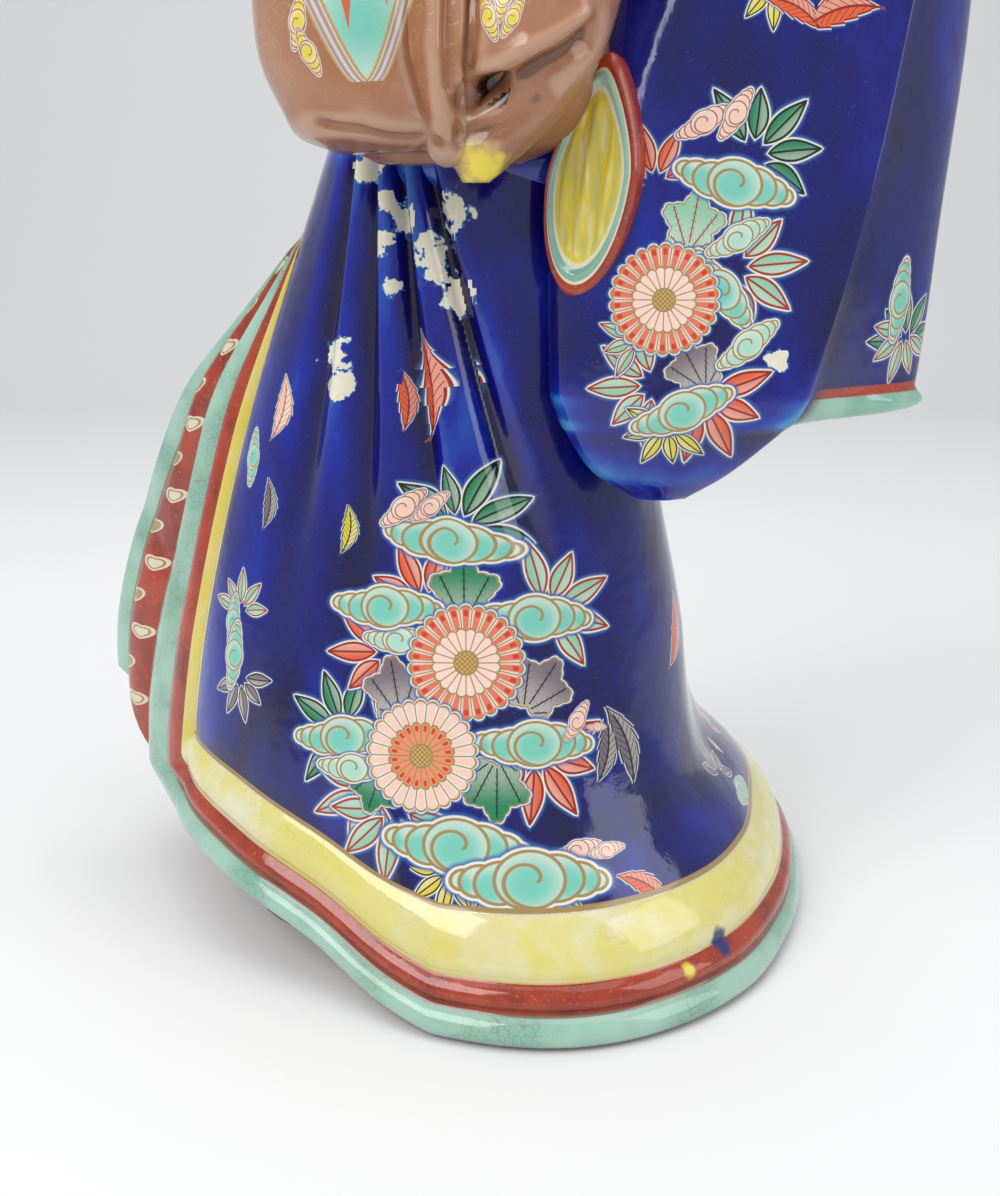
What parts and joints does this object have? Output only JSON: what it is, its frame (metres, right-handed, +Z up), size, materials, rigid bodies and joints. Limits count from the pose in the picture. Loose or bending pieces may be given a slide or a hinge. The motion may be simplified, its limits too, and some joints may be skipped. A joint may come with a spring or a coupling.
{
  "type": "standing lady figure",
  "caption": "Glazed porcelain standing lady in a layered trailing kimono with a front-tied obi, one arm raised in a long hanging sleeve.",
  "frame": {"origin": "middle of the figure's bounding box, on its flat underside", "axes": "+Z up, her chest faces -Y, her left hand is towards +X"},
  "size_m": [0.225, 0.1862, 0.34],
  "materials": {
    "enamelled_porcelain": "glossy glazed porcelain, deep blue enamel with painted flowers, clouds and leaves"
  },
  "bodies": {
    "root": {"lady_figure": "enamelled_porcelain"}
  },
  "joints": []
}
